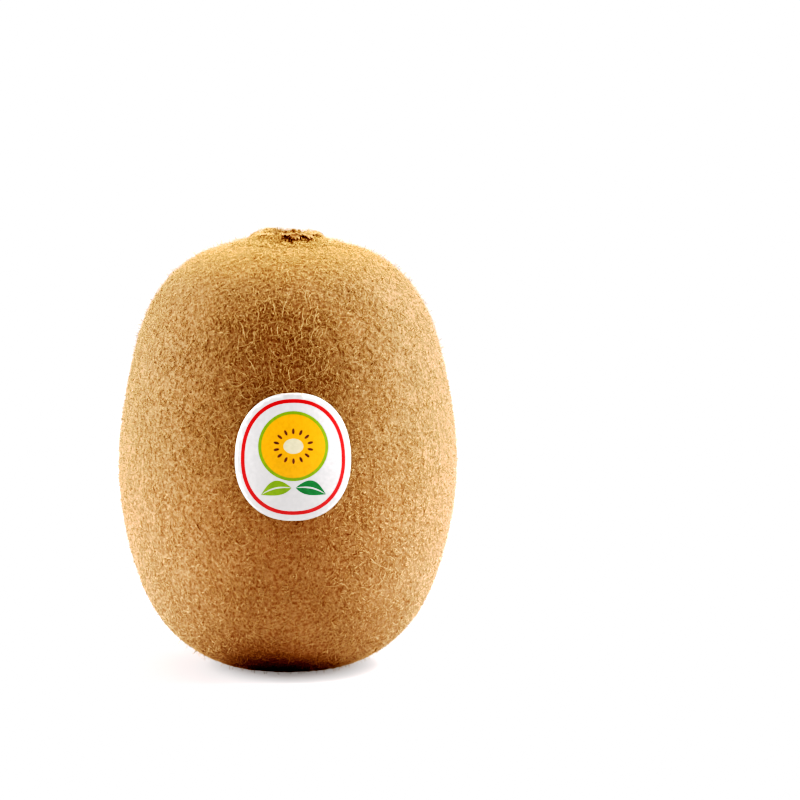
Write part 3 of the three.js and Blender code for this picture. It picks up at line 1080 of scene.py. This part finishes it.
def ink_material(name, shades):
    """Printed label paper: coated paper with offset ink. The coat gives it a slight gloss and the
    paper's fibres show as a faint unevenness in it, a little coarser than real ones."""
    material, tree, shader, place = new_material(name + " label print", Roughness=0.42, IOR=1.5)
    colour, fibres = mottled(tree, place, 0.6, 4.0, *zip((0.35, 0.65), shades))
    cover(tree, shader, colour, fibres, strength=0.15, depth_mm=0.05)
    return material


def make_label():
    """The label: thin coated paper on the hairs in front, with its print."""
    flat, faces, ink = label_sheet(print_regions())
    x, z = (flat + LABEL["middle"]).T
    places = np.stack([x, 0 * x, z], axis=1)
    cockles = PAPER["cockle"] * slow_waves(places, PAPER["cockle_size"], PAPER["seed"])
    below = label_point(x, z, PAPER["under"] + cockles)
    above = label_point(x, z, PAPER["top"] + cockles)
    points, closed_faces = closed_sheet(below, above, faces)
    materials = [ink_material(name, shades) for name, shades in INKS.items()]
    piece = mesh_piece("label_paper", points, closed_faces, *materials)
    names = list(INKS)
    slots = np.zeros(len(closed_faces), np.int32)
    slots[len(faces) : 2 * len(faces)] = [names.index(name) for name in ink]
    piece.data.polygons.foreach_set("material_index", slots)
    return piece


# -------- stage


# The floor, just under the fruit: half its width and its height in millimetres, and its glow.
FLOOR = {"half": 450, "height": -0.02, "glow": (1.0, 0.95, 0.92, 1)}


def make_floor():
    """A wide pale floor: matt white board with a faint glow of its own, so that it shows white."""
    half, low = FLOOR["half"], FLOOR["height"]
    points = [[-half, -half, low], [half, -half, low], [half, half, low], [-half, half, low]]
    material, _, shader, _ = new_material(
        "white studio floor", Roughness=0.9, Specular_IOR_Level=0.1, Emission_Strength=0.2
    )
    shader.inputs["Base Color"].default_value = linear("#9A9796")
    shader.inputs["Emission Color"].default_value = FLOOR["glow"]
    floor = mesh_piece("floor", points, [[0, 1, 2], [0, 2, 3]], material)


# The white room's light from the front and from the back. Then the softboxes: their places and sizes
# in metres and their power. The tall ones stand level with the fruit's sides, and the small one is
# high up on the right.
ROOM = {"front": 0.81, "back": 0.98, "colour": (1.0, 0.99, 0.98, 1)}
SOFTBOX_COLOUR = (0.98, 1.0, 1.04)
SOFTBOXES = {
    "softbox left": ((-0.6, 0.05, 0.26), (0.3, 0.5), 19),
    "softbox right": ((0.56, 0.07, 0.42), (0.3, 0.8), 28),
    "softbox above": ((0.4, 0.12, 0.6), (0.3, 0.3), 4),
}
FRUIT_MIDDLE = Vector((0, 0, 0.035))


def make_room():
    """A white room round the stage."""
    world = bpy.data.worlds.new("white room")
    world.use_nodes = True
    tree = world.node_tree
    direction = add_node(tree, "ShaderNodeTexCoord").outputs["Generated"]
    back = add_node(tree, "ShaderNodeSeparateXYZ", links={"Vector": direction}).outputs["Y"]
    limits = {"From Min": -1.0, "From Max": 1.0, "To Min": ROOM["front"], "To Max": ROOM["back"]}
    strength = add_node(tree, "ShaderNodeMapRange", limits, {"Value": back})
    background = tree.nodes["Background"]
    background.inputs["Color"].default_value = ROOM["colour"]
    tree.links.new(strength.outputs["Result"], background.inputs["Strength"])
    bpy.context.scene.world = world


def stand(data, place, facing):
    """A light or a camera, stood at a place and facing a direction."""
    stood = bpy.data.objects.new(data.name, data)
    stood.location = place
    stood.rotation_euler = facing.to_track_quat("-Z", "Y").to_euler()
    bpy.context.scene.collection.objects.link(stood)
    return stood


def make_softboxes():
    for name, (place, size, power) in SOFTBOXES.items():
        light = bpy.data.lights.new(name, "AREA")
        light.shape = "RECTANGLE"
        light.size, light.size_y = size
        light.energy = power
        light.color = SOFTBOX_COLOUR
        stand(light, place, FRUIT_MIDDLE - Vector(place)).visible_camera = False


# The camera: a long lens, a little above the fruit, with the fruit left of the middle of the frame.
# Its height over the fruit is in degrees, and the rest is in metres but for the sensor.
CAMERA = {"above": 7, "distance": 0.7, "frame": 0.1266, "aim": (0.0178, 0, 0.0422), "sensor_mm": 36}


def make_camera():
    elevation = math.radians(CAMERA["above"])
    view = Vector((0, -math.cos(elevation), math.sin(elevation)))
    data = bpy.data.cameras.new("camera")
    data.sensor_width = CAMERA["sensor_mm"]
    data.lens = CAMERA["sensor_mm"] * CAMERA["distance"] / CAMERA["frame"]
    data.clip_end = 50
    place = Vector(CAMERA["aim"]) + view * CAMERA["distance"]
    bpy.context.scene.camera = stand(data, place, -view)


# A print's tones, as light in and light shown: deep shadows, an even middle and a soft shoulder that
# keeps the pale flanks from burning out just below paper white.
TONES = [
    (0.0, 0.0), (0.041, 0.0012), (0.0563, 0.007), (0.0813, 0.0262), (0.111, 0.0612),
    (0.1515, 0.1274), (0.206, 0.2232), (0.28, 0.3467), (0.453, 0.5776), (0.714, 0.7913),
    (0.85, 0.92), (0.93, 1.0), (1.0, 1.0),
]


def set_tones():
    """Shows the light through the print's tone curve."""
    view = bpy.context.scene.view_settings
    view.view_transform = "Standard"
    view.look = "None"
    view.use_curve_mapping = True
    all_colours = 3
    curve = view.curve_mapping.curves[all_colours]
    curve.points[0].location = TONES[0]
    curve.points[1].location = TONES[-1]
    for light, shown in TONES[1:-1]:
        curve.points.new(light, shown)
    for point in curve.points:
        point.handle_type = "AUTO_CLAMPED"
    view.curve_mapping.update()


# -------- everything


def dress():
    pieces = [make_skin(), *hair_pieces(), make_sepals(), make_styles()]
    for piece in pieces:
        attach(piece, "root")
        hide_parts("fruit")
    label = make_label()
    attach(label, "root")
    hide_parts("label")


dress()
make_floor()
make_room()
make_softboxes()
make_camera()
set_tones()
